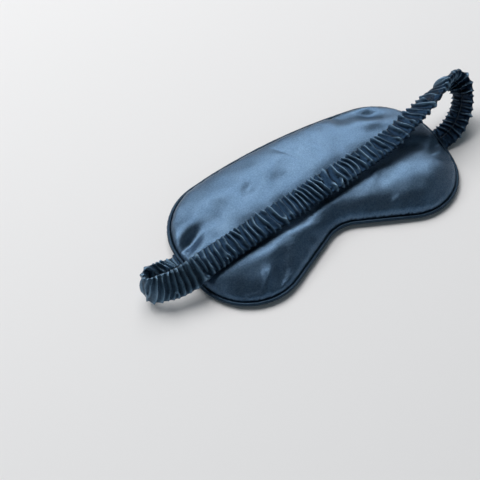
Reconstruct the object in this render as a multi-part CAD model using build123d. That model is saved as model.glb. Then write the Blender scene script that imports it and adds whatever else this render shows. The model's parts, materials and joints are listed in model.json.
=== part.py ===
from build123d import *
import math
import os

# A padded satin sleep mask with a piped edge and a gathered elastic strap,
# lying with the side that touches the eyes upwards and the strap across it.
# Millimetres. +X runs along the mask, +Y to its forehead edge and +Z up.
# The origin is on the resting face, under the middle of the pad.

# Outline of the pad to the outside of its piping: one half, walked clockwise
# from the middle of the forehead edge to the middle of the nose notch.
FOREHEAD_Y = 57.3
FOREHEAD_RADIUS = 420.0
FOREHEAD_TURN = 9.5
TEMPLE_RADIUS = 45.5
TEMPLE_TURN = 76.5
SIDE_RADIUS = 139.0
SIDE_TURN = 13.7
CHEEK_RADIUS = 41.0
CHEEK_TURN = 105.3
NOSE_RADIUS = 24.0

# Heights of the sewn edge and the two padded faces.
SEAM_Z = 5.0
EYE_SIDE_RISE = 10.0
EYE_SIDE_RUN = 26.0
OUTER_DROP = 4.8
OUTER_RUN = 20.0
DOME_STEPS = 6
PANEL_THICKNESS = 0.6
LINING_THICKNESS = 0.4
LAYER_CLEARANCE = 0.1

# Piping: a cord in a satin cover, whose flange is sewn between the panels.
PIPING_RADIUS = 1.6
PIPING_Z = 5.6
COVER_THICKNESS = 0.35
CORD_CLEARANCE = 0.05
FLANGE_WIDTH = 5.0
FLANGE_THICKNESS = 0.4
PANEL_INSET = 2 * PIPING_RADIUS + 0.1

# Stitching of the edge seam, through the flange.
STITCH_INSET = 5.5
STITCH_PITCH = 4.0
STITCH_LENGTH = 3.0
STITCH_WIDTH = 0.5
STITCH_HEIGHT = 0.3
CHANNEL_INSET = 7.0

# Strap: a gathered satin sleeve over a flat elastic.
SLEEVE_WIDTH = 20.0
SLEEVE_THICKNESS = 3.6
SLEEVE_CAVITY_WIDTH = 17.6
SLEEVE_CAVITY_THICKNESS = 2.4
ELASTIC_WIDTH = 15.0
ELASTIC_THICKNESS = 1.0
SLEEVE_SEAM_WIDTH = 0.6
SLEEVE_SEAM_HEIGHT = 0.3
SLEEVE_SEAM_OFFSET = -0.95
SECTIONS_PER_SPAN = 3

# Sewn ends of the strap: x where the free part starts, its gap from the sewn end,
# and how far that end is tucked into the pad.
STRAP_END_X = 108.3
STRAP_TUCK = 14.0
STRAP_GAP = 0.3
LEFT_STRAP_Y = 0.0
RIGHT_STRAP_Y = -5.0
STRAP_END_Z = 2.8
STRAP_END_THICKNESS = 2.2
STRAP_END_CAVITY = 1.2
BAR_TACK_LENGTH = 14.0
BAR_TACK_WIDTH = 1.6
BAR_TACK_HEIGHT = 0.4
BAR_TACK_X = 101.0

# Route of the strap's middle line from its left end over the pad to its right
# end: x, y, z and the roll of its width about the route, in degrees.
# Roll 0 lies flat with its outer face up, and 180 flat with that face down.
STRAP_ROUTE = [
    (-STRAP_END_X, LEFT_STRAP_Y, STRAP_END_Z, 180),
    (-114.0, -0.5, 4.0, 172.0),
    (-123.0, -2.0, 6.5, 154.0),
    (-132.0, -3.0, 9.9, 122.0),
    (-137.5, -7.5, 12.5, 92.0),
    (-135.5, -12.5, 14.0, 66.0),
    (-127.0, -14.5, 14.5, 48.0),
    (-118.0, -16.0, 15.0, 37.0),
    (-107.0, -15.5, 16.0, 24.0),
    (-95.0, -13.5, 17.4, 11.0),
    (-75.0, -11.5, 18.0, 2.0),
    (-43.0, -8.0, 18.3, 0.0),
    (-15.0, -5.0, 18.5, 0.0),
    (16.0, -1.5, 19.0, -2.0),
    (44.0, 1.0, 20.0, -8.0),
    (64.0, 3.0, 22.5, -14.0),
    (80.0, 6.0, 25.5, -22.0),
    (94.0, 9.0, 28.5, -30.0),
    (110.0, 13.5, 31.0, -42.0),
    (126.0, 18.5, 31.0, -65.0),
    (137.0, 18.5, 27.0, -92.0),
    (140.5, 12.5, 20.5, -116.0),
    (135.0, 4.5, 13.5, -142.0),
    (125.0, -2.0, 7.5, -162.0),
    (116.0, -4.5, 4.2, -174.0),
    (STRAP_END_X, RIGHT_STRAP_Y, STRAP_END_Z, -180),
]


def arc_points(start, heading, radius, turn):
    """Middle, end and new heading of an arc; a negative turn bends left."""
    radius = math.copysign(radius, turn)
    angle = math.radians(heading)
    centre_x = start[0] + radius * math.sin(angle)
    centre_y = start[1] - radius * math.cos(angle)
    points = []
    for share in (0.5, 1.0):
        angle = math.radians(heading - share * turn)
        points.append((centre_x - radius * math.sin(angle), centre_y + radius * math.cos(angle)))
    return points[0], points[1], heading - turn


def outline(inset, z=0.0):
    """Closed wire of the mask's outline, moved inwards by inset, at height z."""
    point = (0.0, FOREHEAD_Y - inset)
    heading = 0.0
    pieces = []
    outer_arcs = [
        (FOREHEAD_RADIUS, FOREHEAD_TURN),
        (TEMPLE_RADIUS, TEMPLE_TURN),
        (SIDE_RADIUS, SIDE_TURN),
        (CHEEK_RADIUS, CHEEK_TURN),
    ]
    for radius, turn in outer_arcs:
        middle, end, heading_after = arc_points(point, heading, radius - inset, turn)
        pieces.append((point, middle, end))
        point = end
        heading = heading_after
    # A straight flank runs up to the notch, as far as its arc needs to end at x = 0.
    nose_radius = NOSE_RADIUS + inset
    angle = math.radians(heading)
    flank_end_x = nose_radius * math.sin(angle)
    flank_end = (flank_end_x, point[1] + (flank_end_x - point[0]) * math.tan(angle))
    flank_middle = ((point[0] + flank_end[0]) / 2, (point[1] + flank_end[1]) / 2)
    pieces.append((point, flank_middle, flank_end))
    nose_turn = heading + 180
    middle, end, heading = arc_points(flank_end, heading, nose_radius, nose_turn)
    pieces.append((flank_end, middle, end))

    right_half = [outline_edge(piece, z) for piece in pieces]
    mirrored = [tuple((-x, y) for x, y in reversed(piece)) for piece in reversed(pieces)]
    left_half = [outline_edge(piece, z) for piece in mirrored]
    return Wire(right_half + left_half)


def outline_edge(piece, z):
    """Arc through three points of the outline, or a line where they are in line."""
    start, middle, end = [Vector(x, y, z) for x, y in piece]
    if (middle - start).cross(end - start).length < 1e-6:
        return Edge.make_line(start, end)
    return Edge.make_three_point_arc(start, middle, end)


def slab(inset, low, high):
    """Flat plate with the mask's outline between two heights."""
    return Solid.extrude(Face(outline(inset, low)), Vector(0, 0, high - low))


def dome(edge_inset, edge_z, rise, run):
    """Mound whose side is a quarter ellipse; a negative rise bulges downwards."""
    wires = []
    for step in range(DOME_STEPS + 1):
        angle = math.radians(90 * step / DOME_STEPS)
        inset = edge_inset + run * (1 - math.cos(angle))
        wires.append(outline(inset, edge_z + rise * math.sin(angle)))
    return Solid.make_loft(wires, ruled=True)


def tube_ring(inset, z, radius):
    """Round ring that follows the outline."""
    path = outline(inset, z)
    section = Face(Wire(Edge.make_circle(radius, Plane(path @ 0, z_dir=path % 0))))
    return Solid.sweep(section, path)


def beyond_end(end, neighbour):
    """Guide point past an end of the route, which makes the strap leave the seam along X."""
    return (2 * end[0] - neighbour[0], *neighbour[1:])


def route_point(span, share):
    """Place and direction of the strap's middle line, share of the way along a span."""
    before, start, end, after = guided_route[span:span + 4]
    place = []
    slope = []
    for p, a, b, q in zip(before, start, end, after):
        curve = (2 * p - 5 * a + 4 * b - q, 3 * a - p - 3 * b + q)
        place.append(a + 0.5 * ((b - p) * share + curve[0] * share**2 + curve[1] * share**3))
        slope.append(0.5 * (b - p) + curve[0] * share + 1.5 * curve[1] * share**2)
    return place, Vector(*slope[:3]).normalized()


def strap_planes():
    """Planes across the strap, with X along its width and Z along its route."""
    stations = []
    for span in range(len(STRAP_ROUTE) - 1):
        for part in range(SECTIONS_PER_SPAN):
            stations.append((span, part / SECTIONS_PER_SPAN))
    stations.append((len(STRAP_ROUTE) - 2, 1.0))
    planes = []
    for span, share in stations:
        (x, y, z, roll), along = route_point(span, share)
        level = Vector(0, 0, 1).cross(along).normalized()
        upright = along.cross(level)
        angle = math.radians(roll)
        across = level * math.cos(angle) + upright * math.sin(angle)
        planes.append(Plane(origin=(x, y, z), x_dir=across, z_dir=along))
    return planes


def strap_loft(planes, width, thickness, offset=0.0):
    """Ribbon of rectangular section along the strap."""
    wires = []
    for plane in planes:
        corners = [
            plane.from_local_coords(Vector(x * width / 2, offset + y * thickness / 2, 0))
            for x, y in ((-1, -1), (1, -1), (1, 1), (-1, 1))
        ]
        wires.append(Wire.make_polygon(corners, close=True))
    return Solid.make_loft(wires, ruled=True)


def end_block(side, y, width, thickness, z=STRAP_END_Z, length=STRAP_TUCK):
    """Block at one end of the strap, reaching length inwards from the free part."""
    centre_x = side * (STRAP_END_X - STRAP_GAP - length / 2)
    return Pos(centre_x, y, z) * Box(length, width, thickness)


def edge_stitches():
    """Row of lock stitches through the piping flange, all round the pad."""
    path = outline(STITCH_INSET, SEAM_Z + LINING_THICKNESS / 2 + FLANGE_THICKNESS)
    count = round(path.length / STITCH_PITCH)
    stitch = Box(STITCH_LENGTH, STITCH_WIDTH, STITCH_HEIGHT, align=(Align.CENTER, Align.CENTER, Align.MIN))
    stitches = []
    for number in range(count):
        place = path.position_at((number + 0.5) / count)
        along = path.tangent_at((number + 0.5) / count)
        stitches.append(Plane(origin=place, x_dir=along, z_dir=(0, 0, 1)) * stitch)
    return Compound(stitches)


def bar_tack(side, y):
    """Dense bar of thread across one sewn end of the strap, with its under side."""
    stitch = Box(BAR_TACK_WIDTH, BAR_TACK_LENGTH, BAR_TACK_HEIGHT)
    lift = (STRAP_END_THICKNESS + BAR_TACK_HEIGHT) / 2
    upper = Pos(side * BAR_TACK_X, y, STRAP_END_Z + lift) * stitch
    lower = Pos(side * BAR_TACK_X, y, STRAP_END_Z - lift) * stitch
    return Compound([upper, lower])


def tack_space(side, y):
    """Room in the padding for one sewn end and its bar tack."""
    height = STRAP_END_THICKNESS + 2 * BAR_TACK_HEIGHT + 2 * LAYER_CLEARANCE
    return end_block(side, y, SLEEVE_WIDTH + 2 * LAYER_CLEARANCE, height, length=STRAP_TUCK + LAYER_CLEARANCE)


guided_route = [
    beyond_end(STRAP_ROUTE[0], STRAP_ROUTE[1]),
    *STRAP_ROUTE,
    beyond_end(STRAP_ROUTE[-1], STRAP_ROUTE[-2]),
]
lining_top = SEAM_Z + LINING_THICKNESS / 2
lining_bottom = SEAM_Z - LINING_THICKNESS / 2
flange_top = lining_top + FLANGE_THICKNESS
strap_ends = {"left": (-1, LEFT_STRAP_Y), "right": (1, RIGHT_STRAP_Y)}
end_spaces = [tack_space(side, y) for side, y in strap_ends.values()]

# Panels: thin shells of satin that meet at the sewn edge.
eye_side_rise = SEAM_Z + EYE_SIDE_RISE - flange_top
eye_side_panel = dome(PANEL_INSET, flange_top, eye_side_rise, EYE_SIDE_RUN) - dome(
    PANEL_INSET + PANEL_THICKNESS, flange_top, eye_side_rise - PANEL_THICKNESS, EYE_SIDE_RUN
)
outer_panel = dome(PANEL_INSET, lining_bottom, -OUTER_DROP, OUTER_RUN) - dome(
    PANEL_INSET + PANEL_THICKNESS, lining_bottom, PANEL_THICKNESS - OUTER_DROP, OUTER_RUN
)

# Blackout lining: one flat layer through the middle of the pad.
blackout_lining = slab(PANEL_INSET, lining_bottom, lining_top)

# Wadding on both sides of the lining, with a channel for the turned-in seam.
wadding_inset = PANEL_INSET + PANEL_THICKNESS + LAYER_CLEARANCE
wadding_gap = PANEL_THICKNESS + LAYER_CLEARANCE
seam_channel = slab(0, flange_top, flange_top + 2 * STITCH_HEIGHT) - slab(
    CHANNEL_INSET, flange_top, flange_top + 2 * STITCH_HEIGHT
)
upper_wadding = dome(wadding_inset, flange_top, eye_side_rise - wadding_gap, EYE_SIDE_RUN) - seam_channel
upper_wadding += slab(PANEL_INSET + FLANGE_WIDTH + LAYER_CLEARANCE, lining_top, flange_top)
lower_wadding = dome(wadding_inset, lining_bottom, wadding_gap - OUTER_DROP, OUTER_RUN)
for space in end_spaces:
    lower_wadding -= space
    outer_panel -= space

# Piping: cover with its flange, and the cord inside it.
flange = slab(2 * PIPING_RADIUS - COVER_THICKNESS / 2, lining_top, flange_top) - slab(
    PANEL_INSET + FLANGE_WIDTH, lining_top, flange_top
)
cover_bore = tube_ring(PIPING_RADIUS, PIPING_Z, PIPING_RADIUS - COVER_THICKNESS)
piping_cover = tube_ring(PIPING_RADIUS, PIPING_Z, PIPING_RADIUS) - cover_bore + flange
piping_cord = tube_ring(PIPING_RADIUS, PIPING_Z, PIPING_RADIUS - COVER_THICKNESS - CORD_CLEARANCE)

# Free part of the strap.
planes = strap_planes()
strap_sleeve = strap_loft(planes, SLEEVE_WIDTH, SLEEVE_THICKNESS) - strap_loft(
    planes, SLEEVE_CAVITY_WIDTH, SLEEVE_CAVITY_THICKNESS
)
strap_elastic = strap_loft(planes, ELASTIC_WIDTH, ELASTIC_THICKNESS)
sleeve_seam_thread = strap_loft(planes, SLEEVE_SEAM_WIDTH, SLEEVE_SEAM_HEIGHT, SLEEVE_SEAM_OFFSET)

nodes = {
    "eye_side_panel": eye_side_panel,
    "outer_panel": outer_panel,
    "upper_wadding": upper_wadding,
    "lower_wadding": lower_wadding,
    "blackout_lining": blackout_lining,
    "piping_cover": piping_cover,
    "piping_cord": piping_cord,
    "edge_seam_thread": edge_stitches(),
    "strap_sleeve": strap_sleeve,
    "strap_elastic": strap_elastic,
    "sleeve_seam_thread": sleeve_seam_thread,
}

# Sewn ends: flattened sleeve, elastic and bar tack on each side.
for name, (side, y) in strap_ends.items():
    sleeve_end = end_block(side, y, SLEEVE_WIDTH, STRAP_END_THICKNESS)
    elastic_space = end_block(side, y, SLEEVE_CAVITY_WIDTH, STRAP_END_CAVITY)
    nodes[f"{name}_strap_end"] = sleeve_end - elastic_space
    nodes[f"{name}_elastic_end"] = end_block(side, y, ELASTIC_WIDTH, ELASTIC_THICKNESS)
    nodes[f"{name}_bar_tack"] = bar_tack(side, y)

os.makedirs("parts", exist_ok=True)
for node, shape in nodes.items():
    export_step(shape, f"parts/{node}.step")
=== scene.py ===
import json
import math

import bpy
import numpy as np
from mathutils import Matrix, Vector
from mathutils.bvhtree import BVHTree
from mathutils.geometry import delaunay_2d_cdt
from mathutils.kdtree import KDTree


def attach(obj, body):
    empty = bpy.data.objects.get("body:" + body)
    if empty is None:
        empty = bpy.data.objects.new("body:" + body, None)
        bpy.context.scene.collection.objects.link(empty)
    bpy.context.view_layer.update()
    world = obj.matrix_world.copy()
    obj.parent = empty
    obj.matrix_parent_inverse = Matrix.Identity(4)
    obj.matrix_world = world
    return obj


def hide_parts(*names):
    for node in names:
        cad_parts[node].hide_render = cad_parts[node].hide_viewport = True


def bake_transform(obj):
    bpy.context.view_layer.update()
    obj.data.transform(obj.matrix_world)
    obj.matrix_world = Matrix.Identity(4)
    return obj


# A padded satin sleep mask with a piped edge and a gathered elastic strap.
# Lengths are in metres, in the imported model's frame: +X along the mask, +Y to its
# forehead edge, +Z up out of the side that touches the eyes.

MM = 0.001

# Outline to the outside of the piping: arcs from the forehead's middle to the cheek.
FOREHEAD_Y = 57.3 * MM
OUTER_ARCS = [(420.0 * MM, 9.5), (45.5 * MM, 76.5), (139.0 * MM, 13.7), (41.0 * MM, 105.3)]
NOSE_RADIUS = 24.0 * MM
EDGE_STEP = 0.8 * MM

# Edge and padding.
SEAM_Z = 5.0 * MM
PANEL_INSET = 2.7 * MM
PIPING_RADIUS = 1.6 * MM
PIPING_Z = 5.6 * MM
MESH_STEP = 1.9 * MM

# Strap.
STRAP_END_X = 108.3 * MM
LEFT_STRAP_Y = 0.0 * MM
RIGHT_STRAP_Y = -5.0 * MM
ELASTIC_WIDTH = 15.0 * MM
ELASTIC_THICKNESS = 1.0 * MM

# Reach of the differences that give the strap's direction.
STRAP_REACH = 1.5 * MM

# Route of the strap's middle line in millimetres, with the roll of its width in degrees.
STRAP_ROUTE = [
    (-108.3, 0.0, 2.8, 180),
    (-114.0, -0.5, 4.0, 172.0),
    (-123.0, -2.0, 6.5, 154.0),
    (-132.0, -3.0, 9.9, 122.0),
    (-137.5, -7.5, 12.5, 92.0),
    (-135.5, -12.5, 14.0, 66.0),
    (-127.0, -14.5, 14.5, 48.0),
    (-118.0, -16.0, 15.0, 37.0),
    (-107.0, -15.5, 16.0, 24.0),
    (-95.0, -13.5, 17.4, 11.0),
    (-75.0, -11.5, 18.0, 2.0),
    (-43.0, -8.0, 18.3, 0.0),
    (-15.0, -5.0, 18.5, 0.0),
    (16.0, -1.5, 19.0, -2.0),
    (44.0, 1.0, 20.0, -8.0),
    (64.0, 3.0, 22.5, -14.0),
    (80.0, 6.0, 25.5, -22.0),
    (94.0, 9.0, 28.5, -30.0),
    (110.0, 13.5, 31.0, -42.0),
    (126.0, 18.5, 31.0, -65.0),
    (137.0, 18.5, 27.0, -92.0),
    (140.5, 12.5, 20.5, -116.0),
    (135.0, 4.5, 13.5, -142.0),
    (125.0, -2.0, 7.5, -162.0),
    (116.0, -4.5, 4.2, -174.0),
    (108.3, -5.0, 2.8, -180),
]

# Camera: the point it looks at, its distance and direction, and its lens.
CAMERA_TARGET = Vector((-64.2, -4.9, 5.0)) * MM
CAMERA_DISTANCE = 601.6 * MM
CAMERA_ELEVATION = 54.5
CAMERA_YAW = 32.55
CAMERA_LENS = 67.5
CAMERA_SENSOR = 36.0
CAMERA_SHIFT = 0.002
CAMERA_NEAR = 10.0 * MM

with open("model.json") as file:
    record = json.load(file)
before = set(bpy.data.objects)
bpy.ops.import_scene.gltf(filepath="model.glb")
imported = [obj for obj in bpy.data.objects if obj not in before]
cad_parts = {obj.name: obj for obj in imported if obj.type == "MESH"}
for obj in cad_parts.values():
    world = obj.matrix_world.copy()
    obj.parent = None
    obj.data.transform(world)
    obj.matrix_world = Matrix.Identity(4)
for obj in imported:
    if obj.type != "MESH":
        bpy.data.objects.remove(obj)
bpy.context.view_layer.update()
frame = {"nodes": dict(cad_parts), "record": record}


# ---------------------------------------------------------------- noise and smoothing

def smooth_step(low, high, value):
    """0 below low, 1 above high and smooth between."""
    t = np.clip((value - low) / (high - low), 0.0, 1.0)
    return t * t * (3.0 - 2.0 * t)


def value_noise(seed, x, y, z=None):
    """Smooth noise from -1 to 1 with one lattice cell per unit."""
    lattice = np.random.RandomState(seed).uniform(-1.0, 1.0, (64, 64, 16))
    z = np.zeros_like(x) if z is None else z
    cells = [np.floor(v).astype(int) for v in (x, y, z)]
    shares = [v - c for v, c in zip((x, y, z), cells)]
    shares = [t * t * (3.0 - 2.0 * t) for t in shares]
    total = np.zeros_like(x, dtype=float)
    for corner in range(8):
        steps = [(corner >> bit) & 1 for bit in range(3)]
        weight = 1.0
        for step, share in zip(steps, shares):
            weight = weight * (share if step else 1.0 - share)
        i, j, k = [(c + step) % size for c, step, size in zip(cells, steps, lattice.shape)]
        total = total + weight * lattice[i, j, k]
    return total


# ---------------------------------------------------------------- mesh helpers

def mesh_object(name, points, faces, smooth=True):
    """New object from points and faces, in the row frame."""
    mesh = bpy.data.meshes.new(name)
    mesh.from_pydata([tuple(p) for p in points], [], [tuple(f) for f in faces])
    mesh.validate()
    mesh.update()
    mesh.shade_smooth() if smooth else mesh.shade_flat()
    made = bpy.data.objects.new(name, mesh)
    bpy.context.scene.collection.objects.link(made)
    return made


def grid_faces(rows, columns, wrap_rows=False, wrap_columns=True):
    """Quads of a grid of points, whose columns usually close on themselves."""
    row = np.arange(rows if wrap_rows else rows - 1)
    column = np.arange(columns if wrap_columns else columns - 1)
    r, c = [a.ravel() for a in np.meshgrid(row, column, indexing="ij")]
    r_next = (r + 1) % rows
    c_next = (c + 1) % columns
    corners = [r * columns + c, r * columns + c_next, r_next * columns + c_next, r_next * columns + c]
    return np.stack(corners, axis=1)


def apply_modifiers(piece):
    """Makes the evaluated mesh the piece's own."""
    graph = bpy.context.evaluated_depsgraph_get()
    mesh = bpy.data.meshes.new_from_object(piece.evaluated_get(graph))
    piece.modifiers.clear()
    piece.data = mesh
    return piece


def coordinates(piece):
    """The mesh's points as an array."""
    points = np.zeros(len(piece.data.vertices) * 3)
    piece.data.vertices.foreach_get("co", points)
    return points.reshape(-1, 3)


def set_coordinates(piece, points):
    """Moves the mesh's points."""
    piece.data.vertices.foreach_set("co", np.asarray(points, np.float32).ravel())
    piece.data.update()


# ---------------------------------------------------------------- outline

def outline_segments():
    """The outline's right half at no inset: arcs as (centre, radius, start, end) and a line."""
    x, y, heading = 0.0, FOREHEAD_Y, 0.0
    segments = []
    for radius, turn in OUTER_ARCS:
        angle = math.radians(heading)
        centre = np.array([x + radius * math.sin(angle), y - radius * math.cos(angle)])
        end = math.radians(heading - turn)
        segments.append(("arc", centre, radius, angle, end))
        x, y = centre[0] - radius * math.sin(end), centre[1] + radius * math.cos(end)
        heading -= turn
    angle = math.radians(heading)
    flank_x = NOSE_RADIUS * math.sin(angle)
    flank_y = y + (flank_x - x) * math.tan(angle)
    segments.append(("line", np.array([x, y]), np.array([flank_x, flank_y]), angle, angle))
    centre = np.array([flank_x - NOSE_RADIUS * math.sin(angle), flank_y + NOSE_RADIUS * math.cos(angle)])
    segments.append(("arc", centre, -NOSE_RADIUS, angle, -math.pi))
    return segments


def outline(inset, step):
    """Points along the whole outline, clockwise from the forehead's middle, and outward normals."""
    points = []
    normals = []
    for kind, first, second, start, end in outline_segments():
        if kind == "arc":
            count = max(int(abs(second * (end - start)) / step), 3)
            angles = start + (end - start) * np.arange(count) / count
            normal = np.stack([-np.sin(angles), np.cos(angles)], axis=1)
            points.append(first + normal * (second - inset))
        else:
            count = max(int(np.linalg.norm(second - first) / step), 3)
            shares = np.arange(count)[:, None] / count
            normal = np.tile([-math.sin(start), math.cos(start)], (count, 1))
            points.append(first + (second - first) * shares - normal * inset)
        normals.append(normal)
    points = np.vstack(points)
    normals = np.vstack(normals)
    last = np.array([[0.0, NOSE_MIDDLE_Y + inset]])
    right = np.vstack([points, last])
    right_normals = np.vstack([normals, [[0.0, -1.0]]])
    mirror = np.array([-1.0, 1.0])
    left = right[-2:0:-1] * mirror
    left_normals = right_normals[-2:0:-1] * mirror
    return np.vstack([right, left]), np.vstack([right_normals, left_normals])


def nose_middle_y():
    """Height of the notch's middle on the outline."""
    _, centre, radius, _, end = outline_segments()[-1]
    return centre[1] + radius * math.cos(end)


NOSE_MIDDLE_Y = nose_middle_y()
EDGE_POINTS, EDGE_NORMALS = outline(0.0, EDGE_STEP)


def nearest_edge(points):
    """Distance of points from the outer edge, and the number of the nearest edge point."""
    tree = KDTree(len(EDGE_POINTS))
    for number, (x, y) in enumerate(EDGE_POINTS):
        tree.insert((x, y, 0.0), number)
    tree.balance()
    found = [tree.find((x, y, 0.0)) for x, y in points[:, :2]]
    return np.array([f[2] for f in found]), np.array([f[1] for f in found])


def edge_distance(points):
    """Distance of points inside the mask from its outer edge."""
    return nearest_edge(points)[0]


# ---------------------------------------------------------------- strap route

def strap_curve(per_span=48):
    """The strap's middle line: lengths along it, points, rolls, from the listed route."""
    route = np.array(STRAP_ROUTE, float)
    route[:, :3] *= MM
    before = route[1].copy()
    before[0] = 2 * route[0][0] - route[1][0]
    after = route[-2].copy()
    after[0] = 2 * route[-1][0] - route[-2][0]
    guided = np.vstack([before, route, after])
    found = []
    for span in range(len(route) - 1):
        p, a, b, q = guided[span:span + 4]
        t = (np.arange(per_span) / per_span)[:, None]
        found.append(a + 0.5 * ((b - p) * t + (2 * p - 5 * a + 4 * b - q) * t ** 2
                                + (3 * a - p - 3 * b + q) * t ** 3))
    found = np.vstack(found + [route[-1:]])
    steps = np.linalg.norm(np.diff(found[:, :3], axis=0), axis=1)
    lengths = np.concatenate([[0.0], np.cumsum(steps)])
    return lengths, found[:, :3], found[:, 3]


STRAP_LENGTHS, STRAP_POINTS, STRAP_ROLLS = strap_curve()
STRAP_LENGTH = STRAP_LENGTHS[-1]


def strap_axes(lengths):
    """Middle points and the across and outward directions at lengths along the strap."""
    def place(at):
        return np.stack([np.interp(at, STRAP_LENGTHS, STRAP_POINTS[:, i]) for i in range(3)], axis=1)
    middle = place(lengths)
    ahead = np.clip(lengths + STRAP_REACH, 0, STRAP_LENGTH)
    behind = np.clip(lengths - STRAP_REACH, 0, STRAP_LENGTH)
    along = place(ahead) - place(behind)
    along /= np.linalg.norm(along, axis=1)[:, None]
    level = np.cross([0.0, 0.0, 1.0], along)
    level /= np.linalg.norm(level, axis=1)[:, None]
    upright = np.cross(along, level)
    roll = np.radians(np.interp(lengths, STRAP_LENGTHS, STRAP_ROLLS))[:, None]
    across = np.cos(roll) * level + np.sin(roll) * upright
    outward = np.cross(along, across)
    return middle, across, outward


# ---------------------------------------------------------------- materials

# Satin: dark and light colours, roughness and metallic share of each cloth.
PANEL_SATIN = ((0.054, 0.102, 0.174), (0.114, 0.184, 0.274), 0.33, 0.96)
# The piping's satin is painted darker than the panel's, as painted shade along the edge.
PIPING_SATIN_IN_EDGE_SHADE = ((0.014, 0.030, 0.052), (0.026, 0.050, 0.080), 0.30, 0.90)
# The strap's satin is painted far darker than the panel's, as painted shade in the deep folds of its
# pleats.
STRAP_SATIN_IN_FOLD_SHADE = ((0.004, 0.013, 0.029), (0.010, 0.026, 0.052), 0.28, 0.95)
# Painted highlight on the crests of the strap's pleats.
CREST_PAINTED_HIGHLIGHT = (0.125, 0.205, 0.290)
BIAS_TURN = 45.0
STRAP_TURN = 20.0

# Satin: texture scales per metre, the weft's shares of the warp's, relief depths and changes of shade.
TONE_SCALE = 38.0
WARP_SCALE = 1400.0
WEFT_SCALE_SHARE = 0.45
WEFT_HEIGHT_SHARE = 0.45
SLUB_SCALE = 900.0
SATIN_BUMP = 0.35
WEAVE_DEPTH = 0.2 * MM
FIBRE_DEPTH = 0.6 * MM
SLUB_SHADES = {"From Min": 0.3, "From Max": 0.7, "To Min": -0.5, "To Max": 0.5}
# Fold heights over which the crests' painted highlight fades in.
CREST_HIGHLIGHT_HEIGHTS = {"From Min": 0.22, "From Max": 1.05}
GLOSS_RANGE = (-0.05, 0.07)
SATIN_SHEEN = (0.4, 0.7, 1.0, 1.0)

# Dark and light colours of the other cloths, and their texture scales per metre.
WADDING_COLOURS = ((0.72, 0.72, 0.70), (0.92, 0.92, 0.90))
LINING_COLOURS = ((0.006, 0.006, 0.008), (0.03, 0.03, 0.034))
CORD_COLOURS = ((0.55, 0.52, 0.46), (0.85, 0.82, 0.75))
ELASTIC_COLOURS = ((0.03, 0.035, 0.045), (0.12, 0.13, 0.15))
THREAD_COLOURS = ((0.015, 0.03, 0.055), (0.05, 0.09, 0.14))
WADDING_SCALE = 700.0
LINING_SCALE = 900.0
CORD_SCALE = 420.0
ELASTIC_SCALE = 500.0
THREAD_SCALE = 2200.0


def new_material(name):
    """Empty node material and its Principled shader."""
    material = bpy.data.materials.new(name)
    material.use_nodes = True
    shader = material.node_tree.nodes["Principled BSDF"]
    return material, material.node_tree, shader


def add_node(tree, kind, **values):
    """New node with its sockets or properties set."""
    node = tree.nodes.new(kind)
    for name, value in values.items():
        if name in node.inputs:
            node.inputs[name].default_value = value
        else:
            setattr(node, name, value)
    return node


def set_inputs(node, values):
    """Sets sockets by their names."""
    for name, value in values.items():
        node.inputs[name].default_value = value


def colour_mix(tree, factor, dark, light):
    """Mixes two colours by a factor socket."""
    mix = tree.nodes.new("ShaderNodeMix")
    mix.data_type = "RGBA"
    mix.inputs[6].default_value = (*dark, 1.0)
    mix.inputs[7].default_value = (*light, 1.0)
    tree.links.new(factor, mix.inputs[0])
    return mix.outputs[2]


def object_coordinates(tree, turn=(0.0, 0.0, 0.0), scale=(1.0, 1.0, 1.0)):
    """The piece's own coordinates, turned and scaled."""
    source = tree.nodes.new("ShaderNodeTexCoord")
    mapping = tree.nodes.new("ShaderNodeMapping")
    mapping.inputs["Rotation"].default_value = turn
    mapping.inputs["Scale"].default_value = scale
    tree.links.new(source.outputs["Object"], mapping.inputs["Vector"])
    return mapping


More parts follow.
